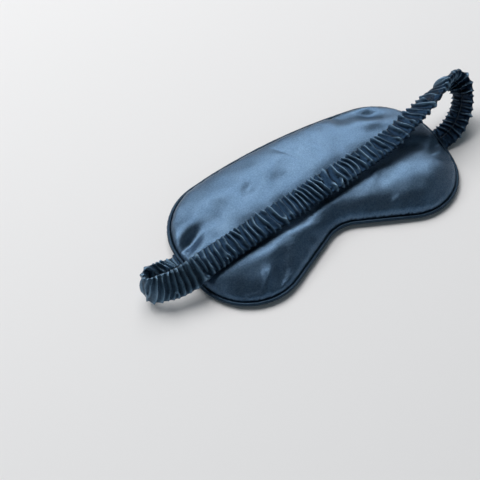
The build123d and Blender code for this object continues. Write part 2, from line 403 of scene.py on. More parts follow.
def satin(name, dark, light, roughness, metallic, turn=0.0, crest_highlight=None):
    """Glossy satin with woven lines, slubs and slow changes of tone.

    The crest colour is a painted highlight on the crests of gathered satin's folds, where the piece's fold
    attribute is high.
    """
    material, tree, shader = new_material(name)
    mapping = object_coordinates(tree, turn=(0.0, 0.0, math.radians(turn)))
    tone = add_node(tree, "ShaderNodeTexNoise", Scale=TONE_SCALE, Detail=5.0, Roughness=0.6)
    tree.links.new(mapping.outputs["Vector"], tone.inputs["Vector"])
    warp = add_node(tree, "ShaderNodeTexWave", Scale=WARP_SCALE, Distortion=1.6, Detail=2.0)
    warp.inputs["Detail Scale"].default_value = 1.5
    warp.bands_direction = "X"
    weft_scale = WARP_SCALE * WEFT_SCALE_SHARE
    weft = add_node(tree, "ShaderNodeTexWave", Scale=weft_scale, Distortion=2.4, Detail=2.0)
    weft.bands_direction = "Y"
    for wave in (warp, weft):
        tree.links.new(mapping.outputs["Vector"], wave.inputs["Vector"])
    weft_share = add_node(tree, "ShaderNodeMath", operation="MULTIPLY")
    weft_share.inputs[1].default_value = WEFT_HEIGHT_SHARE
    tree.links.new(weft.outputs["Fac"], weft_share.inputs[0])
    threads = add_node(tree, "ShaderNodeMath", operation="ADD")
    tree.links.new(warp.outputs["Fac"], threads.inputs[0])
    tree.links.new(weft_share.outputs[0], threads.inputs[1])
    slub = add_node(tree, "ShaderNodeTexNoise", Scale=SLUB_SCALE, Detail=3.0, Roughness=0.7)
    tree.links.new(mapping.outputs["Vector"], slub.inputs["Vector"])
    surface = add_node(tree, "ShaderNodeMath", operation="ADD")
    tree.links.new(threads.outputs[0], surface.inputs[0])
    tree.links.new(slub.outputs["Fac"], surface.inputs[1])
    relief = add_node(tree, "ShaderNodeBump", Strength=SATIN_BUMP, Distance=WEAVE_DEPTH)
    tree.links.new(surface.outputs[0], relief.inputs["Height"])
    tree.links.new(relief.outputs["Normal"], shader.inputs["Normal"])
    grain = add_node(tree, "ShaderNodeMapRange")
    set_inputs(grain, SLUB_SHADES)
    tree.links.new(slub.outputs["Fac"], grain.inputs["Value"])
    shade = add_node(tree, "ShaderNodeMath", operation="ADD", use_clamp=True)
    tree.links.new(tone.outputs["Fac"], shade.inputs[0])
    tree.links.new(grain.outputs["Result"], shade.inputs[1])
    colour = colour_mix(tree, shade.outputs[0], dark, light)
    # Painted highlight: where the fold attribute is high, on the crests of the folds, the colour is mixed
    # towards the pale crest colour.
    if crest_highlight:
        fold = add_node(tree, "ShaderNodeAttribute", attribute_name="fold")
        crest_highlight_share = add_node(tree, "ShaderNodeMapRange", interpolation_type="SMOOTHSTEP")
        set_inputs(crest_highlight_share, CREST_HIGHLIGHT_HEIGHTS)
        tree.links.new(fold.outputs["Fac"], crest_highlight_share.inputs["Value"])
        crest = colour_mix(tree, crest_highlight_share.outputs["Result"], dark, crest_highlight)
        tree.links.new(colour, crest.node.inputs[6])
        colour = crest
    tree.links.new(colour, shader.inputs["Base Color"])
    gloss = add_node(tree, "ShaderNodeMapRange")
    set_inputs(gloss, {"To Min": roughness + GLOSS_RANGE[0], "To Max": roughness + GLOSS_RANGE[1]})
    tree.links.new(slub.outputs["Fac"], gloss.inputs["Value"])
    tree.links.new(gloss.outputs["Result"], shader.inputs["Roughness"])
    set_inputs(shader, {"Metallic": metallic, "Specular IOR Level": 0.6, "Sheen Weight": 0.02})
    shader.inputs["Sheen Tint"].default_value = SATIN_SHEEN
    return material


def woven(name, dark, light, scale, roughness, bump):
    """Plain matte cloth of crossing threads."""
    material, tree, shader = new_material(name)
    mapping = object_coordinates(tree)
    waves = []
    for direction in ("X", "Y"):
        wave = add_node(tree, "ShaderNodeTexWave", Scale=scale, Distortion=0.8, Detail=1.0)
        wave.bands_direction = direction
        tree.links.new(mapping.outputs["Vector"], wave.inputs["Vector"])
        waves.append(wave)
    cross = add_node(tree, "ShaderNodeMath", operation="MULTIPLY")
    tree.links.new(waves[0].outputs["Fac"], cross.inputs[0])
    tree.links.new(waves[1].outputs["Fac"], cross.inputs[1])
    relief = add_node(tree, "ShaderNodeBump", Strength=bump, Distance=WEAVE_DEPTH)
    tree.links.new(cross.outputs[0], relief.inputs["Height"])
    tree.links.new(relief.outputs["Normal"], shader.inputs["Normal"])
    tree.links.new(colour_mix(tree, cross.outputs[0], dark, light), shader.inputs["Base Color"])
    set_inputs(shader, {"Roughness": roughness, "Sheen Weight": 0.3})
    return material


def fluffy(name, dark, light, scale):
    """Loose fibres, for wadding."""
    material, tree, shader = new_material(name)
    mapping = object_coordinates(tree, scale=(1.0, 1.0, 1.6))
    fibres = add_node(tree, "ShaderNodeTexNoise", Scale=scale, Detail=8.0, Roughness=0.75)
    fibres.inputs["Distortion"].default_value = 1.5
    tree.links.new(mapping.outputs["Vector"], fibres.inputs["Vector"])
    relief = add_node(tree, "ShaderNodeBump", Strength=0.7, Distance=FIBRE_DEPTH)
    tree.links.new(fibres.outputs["Fac"], relief.inputs["Height"])
    tree.links.new(relief.outputs["Normal"], shader.inputs["Normal"])
    tree.links.new(colour_mix(tree, fibres.outputs["Fac"], dark, light), shader.inputs["Base Color"])
    set_inputs(shader, {"Roughness": 0.95, "Sheen Weight": 0.6})
    return material


def twisted(name, dark, light, scale):
    """Thread or cord with a visible twist."""
    material, tree, shader = new_material(name)
    mapping = object_coordinates(tree, turn=(0.5, 0.4, 0.7))
    strand = add_node(tree, "ShaderNodeTexWave", Scale=scale, Distortion=1.0, Detail=2.0)
    tree.links.new(mapping.outputs["Vector"], strand.inputs["Vector"])
    relief = add_node(tree, "ShaderNodeBump", Strength=0.5, Distance=WEAVE_DEPTH)
    tree.links.new(strand.outputs["Fac"], relief.inputs["Height"])
    tree.links.new(relief.outputs["Normal"], shader.inputs["Normal"])
    tree.links.new(colour_mix(tree, strand.outputs["Fac"], dark, light), shader.inputs["Base Color"])
    set_inputs(shader, {"Roughness": 0.6, "Sheen Weight": 0.2})
    return material


def give(piece, material):
    """The piece's only material."""
    piece.data.materials.clear()
    piece.data.materials.append(material)


def make_materials():
    """One material per slot of the record."""
    return {
        "satin": satin("navy_satin", *PANEL_SATIN),
        "piping_satin": satin("piping_satin", *PIPING_SATIN_IN_EDGE_SHADE, turn=BIAS_TURN),
        "strap_satin": satin("strap_satin", *STRAP_SATIN_IN_FOLD_SHADE, turn=STRAP_TURN, crest_highlight=CREST_PAINTED_HIGHLIGHT),
        "wadding": fluffy("white_wadding", *WADDING_COLOURS, WADDING_SCALE),
        "lining": woven("blackout_cloth", *LINING_COLOURS, LINING_SCALE, roughness=0.9, bump=0.4),
        "cord": twisted("cotton_cord", *CORD_COLOURS, CORD_SCALE),
        "elastic": woven("knitted_elastic", *ELASTIC_COLOURS, ELASTIC_SCALE, roughness=0.8, bump=0.6),
        "thread": twisted("navy_thread", *THREAD_COLOURS, THREAD_SCALE),
    }


# ---------------------------------------------------------------- camera, light and floor

# Soft lights: direction, distance, width and height in metres, power in watts and colour.
KEY_LIGHT = ((-0.30, 0.60, 0.74), 2.6, (1.6, 1.6), 38.0, (1.0, 0.99, 0.975))
CEILING_PANEL = ((0.15, 0.57, 0.81), 2.6, (2.0, 1.9), 44.0, (1.0, 0.99, 0.985))
ROOM_COLOUR = (0.74, 0.90, 1.0, 1.0)
ROOM_STRENGTH = {"From Min": 0.25, "From Max": 0.80, "To Min": 0.42, "To Max": 0.03}
FLOOR_HALF = 4.0
FLOOR_FINISH = {"Base Color": (0.81, 0.802, 0.806, 1.0), "Roughness": 0.8}


def make_camera():
    """Camera that looks down on the mask from its near left."""
    elevation = math.radians(CAMERA_ELEVATION)
    yaw = math.radians(CAMERA_YAW)
    back = Vector((-math.sin(yaw) * math.cos(elevation), -math.cos(yaw) * math.cos(elevation),
                   math.sin(elevation)))
    camera = bpy.data.objects.new("camera", bpy.data.cameras.new("camera"))
    camera.location = CAMERA_TARGET + back * CAMERA_DISTANCE
    camera.rotation_mode = "QUATERNION"
    camera.rotation_quaternion = (-back).to_track_quat("-Z", "Y")
    camera.data.lens = CAMERA_LENS
    camera.data.sensor_width = CAMERA_SENSOR
    camera.data.shift_y = CAMERA_SHIFT
    camera.data.clip_start = CAMERA_NEAR
    bpy.context.scene.collection.objects.link(camera)
    bpy.context.scene.camera = camera


def area_light(name, direction, distance, size, power, colour):
    """Soft light that faces the mask from a direction."""
    data = bpy.data.lights.new(name, "AREA")
    data.shape = "RECTANGLE"
    data.size, data.size_y = size
    data.energy = power
    data.color = colour
    light = bpy.data.objects.new(name, data)
    aim = Vector(direction).normalized()
    light.location = aim * distance
    light.rotation_mode = "QUATERNION"
    light.rotation_quaternion = (-aim).to_track_quat("-Z", "Y")
    bpy.context.scene.collection.objects.link(light)


def make_light():
    """Two large soft lights behind the mask, pale walls all round and a darker ceiling."""
    area_light("key", *KEY_LIGHT)
    area_light("ceiling_panel", *CEILING_PANEL)
    world = bpy.data.worlds.new("room")
    world.use_nodes = True
    tree = world.node_tree
    background = tree.nodes["Background"]
    background.inputs["Color"].default_value = ROOM_COLOUR
    direction = tree.nodes.new("ShaderNodeTexCoord")
    split = tree.nodes.new("ShaderNodeSeparateXYZ")
    tree.links.new(direction.outputs["Generated"], split.inputs[0])
    ceiling = tree.nodes.new("ShaderNodeMapRange")
    ceiling.interpolation_type = "SMOOTHSTEP"
    set_inputs(ceiling, ROOM_STRENGTH)
    tree.links.new(split.outputs["Z"], ceiling.inputs["Value"])
    tree.links.new(ceiling.outputs["Result"], background.inputs["Strength"])
    bpy.context.scene.world = world
    bpy.context.scene.view_settings.view_transform = "Standard"


def make_floor():
    """Plain pale table."""
    signs = [(-1, -1), (1, -1), (1, 1), (-1, 1)]
    corners = [(FLOOR_HALF * x, FLOOR_HALF * y, 0.0) for x, y in signs]
    floor = mesh_object("floor", corners, [(0, 1, 2, 3)], smooth=False)
    material, _, shader = new_material("pale_table")
    set_inputs(shader, FLOOR_FINISH)
    give(floor, material)


# ---------------------------------------------------------------- pad

SETTLE_DROP = 1.7 * MM
SETTLE_TUCK = 1.3 * MM
SETTLE_DEPTH = 18.0 * MM
SETTLE_FROM_Y = -2.0 * MM
SETTLE_FULL_Y = -20.0 * MM
SETTLE_FLOOR = 0.05 * MM
EYE_SIDE_RISE = 10.0 * MM
EYE_SIDE_RUN = 26.0 * MM
OUTER_DROP = 4.9 * MM
OUTER_RUN = 20.0 * MM
SEAM_GAP = 0.05 * MM
EDGE_ROLL = 5.0 * MM
EDGE_SHARE = 0.28
EDGE_ROLL_SIDE = (-0.5, 0.4)
SATIN_THICKNESS = 0.5 * MM
WADDING_INSET = 5.5 * MM
WADDING_GAP = 0.9 * MM
WADDING_FLOOR = 0.25 * MM
WADDING_LEAST = 0.1 * MM
LINING_INSET = 4.5 * MM
LINING_THICKNESS = 0.4 * MM
PUCKER_PITCH = 3.6 * MM
PUCKER_HEIGHT = 0.9 * MM
PUCKER_DEPTH = 5.0 * MM
PUCKER_CHANGE = 9.0 * MM
PUCKER_START = 1.5 * MM
PRESS_DEPTH = 2.2 * MM
PRESS_REACH = 9.0 * MM
PRESS_START = 120.0 * MM
PRESS_END = 235.0 * MM
HOLLOW_SHARES = (0.1, 0.75)

# Unevenness of the wadding: noise seed, height and pitch in millimetres, place in the noise.
UNEVENNESS = [(41, 0.55, 17.0, 20.0), (42, 0.40, 9.0, 30.0), (43, 0.07, 4.0, 30.0)]
PUCKER_SEED = 44

# Simulation of the satin, which runs at a larger size so that small gaps count.
SIM_SCALE = 10.0
SIM_FRAMES = 26
SIM_LIFT = 0.5 * MM
SIM_GROWTH = 0.001
CLOTH = {
    "quality": 6,
    "mass": 0.15,
    "tension_stiffness": 25.0,
    "compression_stiffness": 25.0,
    "shear_stiffness": 8.0,
    "bending_stiffness": 6.0,
    "air_damping": 2.0,
}
SIM_CLOTH_GAP = 0.003
SIM_WADDING_GAP = 0.002
SIM_FRICTION = 20.0

# Hollows (negative) and swellings of the eye side in millimetres:
# x, y, half length, half width, turn of the length in degrees, height.
HOLLOWS = [
    (-95.0, 7.4, 11.0, 5.2, 24.0, -5.4),
    (-99.5, 3.5, 3.5, 1.2, 35.0, 1.2),
    (-40.0, 22.0, 5.5, 4.0, 20.0, -1.1),
    (0.0, 37.0, 12.0, 1.3, -57.0, -0.7),
    (67.5, 26.0, 10.0, 5.0, -32.0, 1.6),
    (73.5, 35.0, 10.0, 5.0, -32.0, -3.2),
    (52.0, 47.0, 7.0, 5.0, 60.0, -1.6),
    (36.0, 17.0, 15.0, 6.5, -65.0, -1.0),
    (56.0, 42.0, 8.0, 6.0, 30.0, -1.6),
    (-82.0, -50.0, 32.0, 26.0, 15.0, -3.4),
    (-54.0, -40.0, 15.0, 5.0, 50.0, -2.2),
    (-68.5, -45.0, 9.0, 2.8, 48.0, 1.2),
    (-56.0, -28.5, 20.0, 4.5, -4.0, 1.2),
    (-56.0, 18.0, 30.0, 26.0, 0.0, 2.2),
    (-60.0, -50.5, 6.0, 1.5, 80.0, -0.8),
    (-24.0, -26.5, 24.0, 5.5, -14.0, 1.9),
    (-28.0, -14.0, 26.0, 6.0, 8.0, -1.6),
    (-1.0, -25.0, 5.0, 1.5, 75.0, -1.0),
    (4.0, -27.0, 6.0, 1.5, 110.0, -0.9),
    (41.0, -38.0, 4.0, 2.5, 10.0, 0.9),
    (70.0, -28.0, 22.0, 10.0, -12.0, 1.9),
    (45.0, -17.0, 7.0, 4.5, 40.0, -1.4),
    (82.0, -7.0, 15.0, 6.0, -20.0, -2.0),
    (70.0, -52.0, 24.0, 9.0, 8.0, -1.6),
    (95.0, -14.0, 10.0, 3.0, 20.0, -2.4),
    (93.0, -27.0, 9.0, 2.0, -30.0, -1.3),
    (-70.0, 12.0, 9.0, 7.0, 0.0, -0.7),
]


def flat_panel(name, inset):
    """Flat sheet with the mask's outline, cut into even triangles, and its number of edge points."""
    edge, _ = outline(inset, MESH_STEP)
    low = edge.min(axis=0)
    high = edge.max(axis=0)
    rows = np.arange(low[1], high[1], MESH_STEP * math.sqrt(3) / 2)
    inner = []
    for number, y in enumerate(rows):
        x = np.arange(low[0], high[0], MESH_STEP) + (number % 2) * MESH_STEP / 2
        inner.append(np.stack([x, np.full_like(x, y)], axis=1))
    inner = np.vstack(inner)
    inner = inner[inside(inner, edge)]
    inner = inner[edge_distance(inner) > inset + 0.7 * MESH_STEP]
    points = np.vstack([edge, inner])
    count = len(edge)
    edges = [(i, (i + 1) % count) for i in range(count)]
    found = delaunay_2d_cdt([Vector(p) for p in points], edges, [], 0, 1e-7)
    flat = np.array([tuple(p) for p in found[0]])
    middles = np.array([flat[list(f)].mean(axis=0) for f in found[2]])
    keep = inside(middles, edge)
    faces = [f for f, kept in zip(found[2], keep) if kept]
    return mesh_object(name, np.column_stack([flat, np.zeros(len(flat))]), faces), count


def inside(points, polygon):
    """True for points inside a closed polygon."""
    x, y = points[:, 0], points[:, 1]
    found = np.zeros(len(points), bool)
    following = np.roll(polygon, -1, axis=0)
    for (x0, y0), (x1, y1) in zip(polygon, following):
        if y0 == y1:
            continue
        crosses = ((y0 > y) != (y1 > y)) & (x < (x1 - x0) * (y - y0) / (y1 - y0) + x0)
        found ^= crosses
    return found


def dome(points, rise, run):
    """Height of a stuffed side over its seam, from the distance to the seam."""
    distance, number = nearest_edge(points)
    depth = distance - PANEL_INSET
    broad = 1.0 - np.clip(depth / run, 0.0, 1.0)
    tight = 1.0 - np.clip(depth / EDGE_ROLL, 0.0, 1.0)
    rolled = EDGE_SHARE * smooth_step(*EDGE_ROLL_SIDE, EDGE_NORMALS[number, 1])
    return rise * ((1 - rolled) * np.sqrt(1.0 - broad ** 2) + rolled * np.sqrt(1.0 - tight ** 2))


def hollows(points):
    """Sum of the eye side's hollows and swellings at points."""
    found = np.zeros(len(points))
    for x, y, length, width, turn, height in HOLLOWS:
        angle = math.radians(turn)
        east = points[:, 0] / MM - x
        north = points[:, 1] / MM - y
        along = (east * math.cos(angle) + north * math.sin(angle)) / length
        across = (north * math.cos(angle) - east * math.sin(angle)) / width
        found += height * MM * np.exp(-along ** 2 - across ** 2)
    return found


def strap_shadow(points):
    """1 under the strap's resting length, falling to 0 beside it."""
    resting = (STRAP_LENGTHS > PRESS_START) & (STRAP_LENGTHS < PRESS_END)
    middle = STRAP_POINTS[resting][::6, :2]
    gap = np.sqrt(((points[:, None, :2] - middle[None]) ** 2).sum(axis=2).min(axis=1))
    return np.exp(-(gap / PRESS_REACH) ** 2)


def stuffed_height(points):
    """Height of the wadding's eye side over the seam, with its hollows and unevenness."""
    height = dome(points, EYE_SIDE_RISE, EYE_SIDE_RUN)
    share = height / EYE_SIDE_RISE
    uneven = np.zeros(len(points))
    for seed, size, pitch, place in UNEVENNESS:
        cells = points / (pitch * MM) + place
        uneven += size * MM * value_noise(seed, cells[:, 0], cells[:, 1])
    pressed = -PRESS_DEPTH * strap_shadow(points)
    changes = (hollows(points) + uneven + pressed) * smooth_step(*HOLLOW_SHARES, share)
    return height + seam_puckers(points) + changes


def seam_puckers(points):
    """Heights of the small puckers that the edge seam draws in the satin."""
    distance, number = nearest_edge(points)
    depth = distance - PANEL_INSET
    loop = 2 * math.pi * number / len(EDGE_POINTS)
    ring = len(EDGE_POINTS) * EDGE_STEP / (2 * math.pi * PUCKER_PITCH)
    first = ring * np.cos(loop) + 30
    second = ring * np.sin(loop) + 30
    pucker = value_noise(PUCKER_SEED, first, second, depth / PUCKER_CHANGE + 2)
    return PUCKER_HEIGHT * pucker * smooth_step(0, PUCKER_START, depth) * np.exp(-depth / PUCKER_DEPTH)


def settled(points):
    """Lets the near edge down on the table, where it pulls in a little."""
    share = smooth_step(SETTLE_FROM_Y, SETTLE_FULL_Y, points[:, 1])
    share *= smooth_step(SETTLE_DEPTH, 0.0, edge_distance(points))
    moved = points.copy()
    moved[:, 1] += SETTLE_TUCK * share
    moved[:, 2] = np.maximum(points[:, 2] - SETTLE_DROP * share, np.minimum(points[:, 2], SETTLE_FLOOR))
    return moved


def drape(cover, wadding, edge_count):
    """Lets the cut satin settle over the wadding with its edge held in the seam."""
    for piece in (cover, wadding):
        set_coordinates(piece, coordinates(piece) * SIM_SCALE)
    wadding.modifiers.new("collision", "COLLISION")
    wadding.collision.thickness_outer = SIM_WADDING_GAP
    wadding.collision.cloth_friction = SIM_FRICTION
    held = cover.vertex_groups.new(name="held")
    held.add(list(range(edge_count)), 1.0, "REPLACE")
    cloth = cover.modifiers.new("cloth", "CLOTH")
    cloth.settings.vertex_group_mass = "held"
    for setting, value in CLOTH.items():
        setattr(cloth.settings, setting, value)
    cloth.settings.shrink_min = -SIM_GROWTH
    cloth.collision_settings.distance_min = SIM_CLOTH_GAP
    cloth.collision_settings.use_self_collision = False
    cloth.point_cache.frame_start = 1
    cloth.point_cache.frame_end = SIM_FRAMES
    scene = bpy.context.scene
    for number in range(1, SIM_FRAMES + 1):
        scene.frame_set(number)
    apply_modifiers(cover)
    scene.frame_set(1)
    set_coordinates(cover, coordinates(cover) / SIM_SCALE)
    bpy.data.objects.remove(wadding)


def finish_panel(panel, material, node):
    """Smooths a panel, gives it its thickness and joins it to the pad."""
    fine = panel.modifiers.new("fine", "SUBSURF")
    fine.levels = 1
    fine.render_levels = 1
    solid = panel.modifiers.new("cloth", "SOLIDIFY")
    solid.thickness = SATIN_THICKNESS
    solid.offset = -1.0
    apply_modifiers(panel)
    panel.data.shade_smooth()
    give(panel, material)
    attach(panel, "pad")
    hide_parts(node)


def make_eye_side_panel(material):
    """Upper panel, settled over the wadding."""
    panel, edge_count = flat_panel("eye_side_satin", PANEL_INSET)
    points = coordinates(panel)
    height = stuffed_height(points)
    shape = points.copy()
    shape[:, 2] = SEAM_Z + height
    set_coordinates(panel, shape)
    wadding = panel.copy()
    wadding.data = panel.data.copy()
    bpy.context.scene.collection.objects.link(wadding)
    lifted = shape.copy()
    lifted[edge_count:, 2] += SIM_LIFT
    set_coordinates(panel, lifted)
    drape(panel, wadding, edge_count)
    set_coordinates(panel, settled(coordinates(panel)))
    finish_panel(panel, material, "eye_side_panel")
    return panel


def panel_heights(panel, flat, direction):
    """Heights of a panel's far side above or below flat places, met from outside."""
    tree = BVHTree.FromObject(panel, bpy.context.evaluated_depsgraph_get())
    heights = []
    for x, y, _ in flat:
        hit, _, _, _ = tree.ray_cast(Vector((x, y, 0.1 * direction)), Vector((0.0, 0.0, -direction)))
        heights.append(hit.z if hit else SEAM_Z)
    return np.array(heights)


def make_wadding(name, panel, direction, node, material):
    """Wadding between the lining and a panel, which follows the settled satin."""
    sheet, edge_count = flat_panel(name, WADDING_INSET)
    flat = coordinates(sheet)
    lining = settled(np.column_stack([flat[:, :2], np.full(len(flat), SEAM_Z)]))[:, 2]
    inner = flat.copy()
    inner[:, 2] = lining + direction * WADDING_FLOOR
    outer = flat.copy()
    outer[:, 2] = panel_heights(panel, flat, direction) - direction * WADDING_GAP
    outer[:, 2] = direction * np.maximum(direction * outer[:, 2], direction * inner[:, 2] + WADDING_LEAST)
    top, bottom = (outer, inner) if direction > 0 else (inner, outer)
    count = len(flat)
    faces = [tuple(p.vertices) for p in sheet.data.polygons]
    under = [tuple(i + count for i in reversed(f)) for f in faces]
    rim = [(i, i + count, (i + 1) % edge_count + count, (i + 1) % edge_count) for i in range(edge_count)]
    bpy.data.objects.remove(sheet)
    piece = mesh_object(name, np.vstack([top, bottom]), faces + under + rim)
    give(piece, material)
    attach(piece, "pad")
    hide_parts(node)


def make_lining(material):
    """Blackout sheet through the middle of the pad."""
    sheet, _ = flat_panel("blackout_sheet", LINING_INSET)
    points = coordinates(sheet)
    points[:, 2] = SEAM_Z + LINING_THICKNESS / 2
    set_coordinates(sheet, settled(points))
    solid = sheet.modifiers.new("cloth", "SOLIDIFY")
    solid.thickness = LINING_THICKNESS
    solid.offset = -1.0
    apply_modifiers(sheet)
    give(sheet, material)
    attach(sheet, "pad")
    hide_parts("blackout_lining")


def make_outer_panel(material):
    """Lower panel, flat where it rests on the table."""
    panel, _ = flat_panel("outer_satin", PANEL_INSET)
    points = coordinates(panel)
    depth = dome(points, OUTER_DROP, OUTER_RUN)
    points[:, 2] = np.maximum(SEAM_Z - SEAM_GAP - depth, 0.0)
    set_coordinates(panel, settled(points))
    panel.data.flip_normals()
    finish_panel(panel, material, "outer_panel")
    return panel


# ---------------------------------------------------------------- piping

PIPING_DROP = 0.9 * MM
PIPING_DROP_SIDE = (0.5, -0.2)
PIPING_SIZE = 0.80
PIPING_WAVE = 0.3 * MM
PIPING_STEP = 0.5 * MM
COVER_ROUND = 20
CREASE_DEPTH = 0.08
CREASES_ROUND = 60.0
CORD_ROUND = 14
CORD_TWISTS = 90
CORD_CORE = 0.66
CORD_STRAND = 0.12
STRAP_END_NEAR = 12.0 * MM
STRAP_END_FAR = 24.0 * MM


def near_strap(points):
    """1 where the strap's ends pass under the edge, falling to 0 along the edge."""
    left = np.hypot(points[:, 0] + STRAP_END_X, points[:, 1] - LEFT_STRAP_Y)
    right = np.hypot(points[:, 0] - STRAP_END_X, points[:, 1] - RIGHT_STRAP_Y)
    return smooth_step(STRAP_END_FAR, STRAP_END_NEAR, np.minimum(left, right))


def edge_tube(name, radii, round_count):
    """Closed tube round the whole edge; radii gives its radius from the place along and round it."""
    edge, normals = outline(PIPING_RADIUS, PIPING_STEP)
    count = len(edge)
    turns = 2 * math.pi * np.arange(round_count) / round_count
    steps = np.linalg.norm(np.roll(edge, -1, axis=0) - edge, axis=1)
    lengths = np.concatenate([[0.0], np.cumsum(steps)[:-1]])
    loops = (lengths / steps.sum() * 2 * math.pi)[:, None]
    wave = value_noise(4, 3 * np.cos(loops) + 8, 3 * np.sin(loops) + 8)
    lowered = (1 - near_strap(edge)) * smooth_step(*PIPING_DROP_SIDE, normals[:, 1])
    height = PIPING_Z - PIPING_DROP * lowered[:, None] + PIPING_WAVE * wave
    radius = radii(loops, turns)
    points = np.empty((count, round_count, 3))
    points[:, :, :2] = edge[:, None] + normals[:, None] * (np.cos(turns) * radius)[:, :, None]
    points[:, :, 2] = height + np.sin(turns) * radius
    middles = np.column_stack([edge, height[:, 0]])
    points += (settled(middles) - middles)[:, None]
    return mesh_object(name, points.reshape(-1, 3), grid_faces(count, round_count, True))


def creased(loops, turns):
    """Radius of the piping's cover, with small slanting creases."""
    place = CREASES_ROUND * PIPING_SIZE
    first = place * np.cos(loops) + 70 + turns * 0.3
    second = place * np.sin(loops) + 70 + turns * 0.3
    crease = value_noise(3, first, second, np.sin(turns) + 2 + 0 * loops)
    return PIPING_RADIUS * PIPING_SIZE * (1.0 + CREASE_DEPTH * crease)


def roped(loops, turns):
    """Radius of the cord inside it, with three twisted strands."""
    strand = np.abs(np.cos(1.5 * turns + CORD_TWISTS * 1.5 * loops))
    return PIPING_RADIUS * PIPING_SIZE * (CORD_CORE + CORD_STRAND * strand)


def make_piping(materials):
    """Piping's satin cover, cut on the bias, and the cord inside it."""
    cover = edge_tube("piping_satin_cover", creased, COVER_ROUND)
    give(cover, materials["piping_satin"])
    cord = edge_tube("piping_inner_cord", roped, CORD_ROUND)
    give(cord, materials["cord"])
    for piece in (cover, cord):
        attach(piece, "pad")
    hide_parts("piping_cover")
    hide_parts("piping_cord")


# ---------------------------------------------------------------- strap

SLEEVE_WIDTH = 18.0 * MM
SLEEVE_SHIFT = -1.5 * MM
SLEEVE_INSIDE = 0.95 * MM
SLEEVE_STEP = 0.30 * MM
SLEEVE_ROUND = 84
SLEEVE_GATHER = 8.0 * MM
SEAM_ALLOWANCE = [(0.35 * MM, -0.75 * MM), (1.4 * MM, -0.62 * MM), (2.6 * MM, -0.62 * MM)]
SEAM_TURN = 0.02
THREAD_WIDTH = 0.6 * MM
THREAD_THICKNESS = 0.3 * MM
THREAD_OFFSET = -0.95 * MM

# Lengths along the strap where its body is shifted to one side, and back.
SHIFT_STARTS = (30.0 * MM, 60.0 * MM)
SHIFT_ENDS = (325.0 * MM, 295.0 * MM)

# Pleats: pitch in millimetres at lengths along the strap, and one fold's section.
PLEAT_PITCHES = [(-20.0, 4.0), (60.0, 4.4), (190.0, 4.4), (210.0, 4.7), (290.0, 4.7), (400.0, 4.5)]
FOLD_PLACES = [0.0, 0.06, 0.18, 0.32, 0.58, 0.80, 0.93, 1.0]
FOLD_HEIGHTS = [1.0, 0.88, 0.24, 0.0, 0.07, 0.42, 0.82, 1.0]
PLEAT_HEIGHT = 3.0 * MM
PLEAT_SPREAD = 1.6 * MM
PLEAT_SPREAD_LEAST = 0.55
PLEAT_SPREAD_GROWS = (60.0 * MM, 150.0 * MM)
PLEAT_SQUASH = 0.58
PLEAT_WANDER = 1.5 * MM
PLEAT_WIGGLE = 0.45 * MM
PLEAT_CROWDING = 0.60
LEFT_LEAN = 1.7
LEFT_LEAN_SHARES = (0.33, 0.15)
RIGHT_LEAN = 1.3
RIGHT_LEAN_SHARES = (0.55, 0.75)

# Pleats that end or fork: their number, how far from even places, and their reach.
PLEAT_ENDS = 22
PLEAT_END_MARGIN = 4.0 * MM
PLEAT_END_SCATTER = 3.0
PLEAT_END_SIDE = 0.75
PLEAT_END_REACH = 6.0 * MM
PLEAT_END_SEED = 17

# Changes of the folds: mean and spread of their sharpness and height, puffs and crumples.
FOLD_SHARPNESS = (1.0, 0.28)
FOLD_SIZE = (0.80, 0.55)
PUFF_HEIGHT = 0.16
PUFF_SHARES = (0.30, 0.45)
PUFF_SIDE = (-0.45, -0.6)
CRUMPLE_HEIGHT = 0.05

# Painted light on the left loop's folds, which raises their painted crest highlight: by how much, and over
# which lengths it fades in.
LOOP_PAINTED_LIGHT = 0.50
LOOP_PAINTED_LIGHT_LENGTHS = (110.0 * MM, 50.0 * MM)

# Underside that rests on the pad: where it starts and ends.
UNDER_STARTS = (70.0 * MM, 85.0 * MM)
UNDER_ENDS = (250.0 * MM, 230.0 * MM)


def pleat_count(s, v, u):
    """Running count of pleats at a length s and a place v, u round the section; some pleats end or fork."""
    random = np.random.RandomState(PLEAT_END_SEED)
    wander = PLEAT_WANDER * value_noise(5, s / (12 * MM), v * 0.9 + 7, u * 0.6 + 3)
    wander = wander + PLEAT_WIGGLE * value_noise(6, s / (5 * MM), v * 2.2 + 7, u * 0.6 + 3)
    lean = LEFT_LEAN * smooth_step(*LEFT_LEAN_SHARES, s / STRAP_LENGTH)
    lean = lean - RIGHT_LEAN * smooth_step(*RIGHT_LEAN_SHARES, s / STRAP_LENGTH)
    shifted = s - lean * v * MM + wander
    tight = PLEAT_CROWDING * value_noise(7, s / (16 * MM) + 11, 0 * v + 3)
    lengths, pitches = np.array(PLEAT_PITCHES).T * MM
    numbers = np.concatenate([[0.0], np.cumsum(np.diff(lengths) * 2 / (pitches[1:] + pitches[:-1]))])
    count = np.interp(shifted, lengths, numbers) + tight
    places = np.linspace(PLEAT_END_MARGIN, STRAP_LENGTH - PLEAT_END_MARGIN, PLEAT_ENDS)
    places = places + random.uniform(-PLEAT_END_SCATTER, PLEAT_END_SCATTER, PLEAT_ENDS) * MM
    sides = random.uniform(-PLEAT_END_SIDE, PLEAT_END_SIDE, PLEAT_ENDS)
    signs = np.where(np.arange(PLEAT_ENDS) % 2, 1.0, -1.0)
    for place, side, sign in zip(places, sides, signs):
        around = np.arctan2((v - side) * PLEAT_END_REACH, s - place)
        count = count + sign * around / (2 * math.pi)
    return count


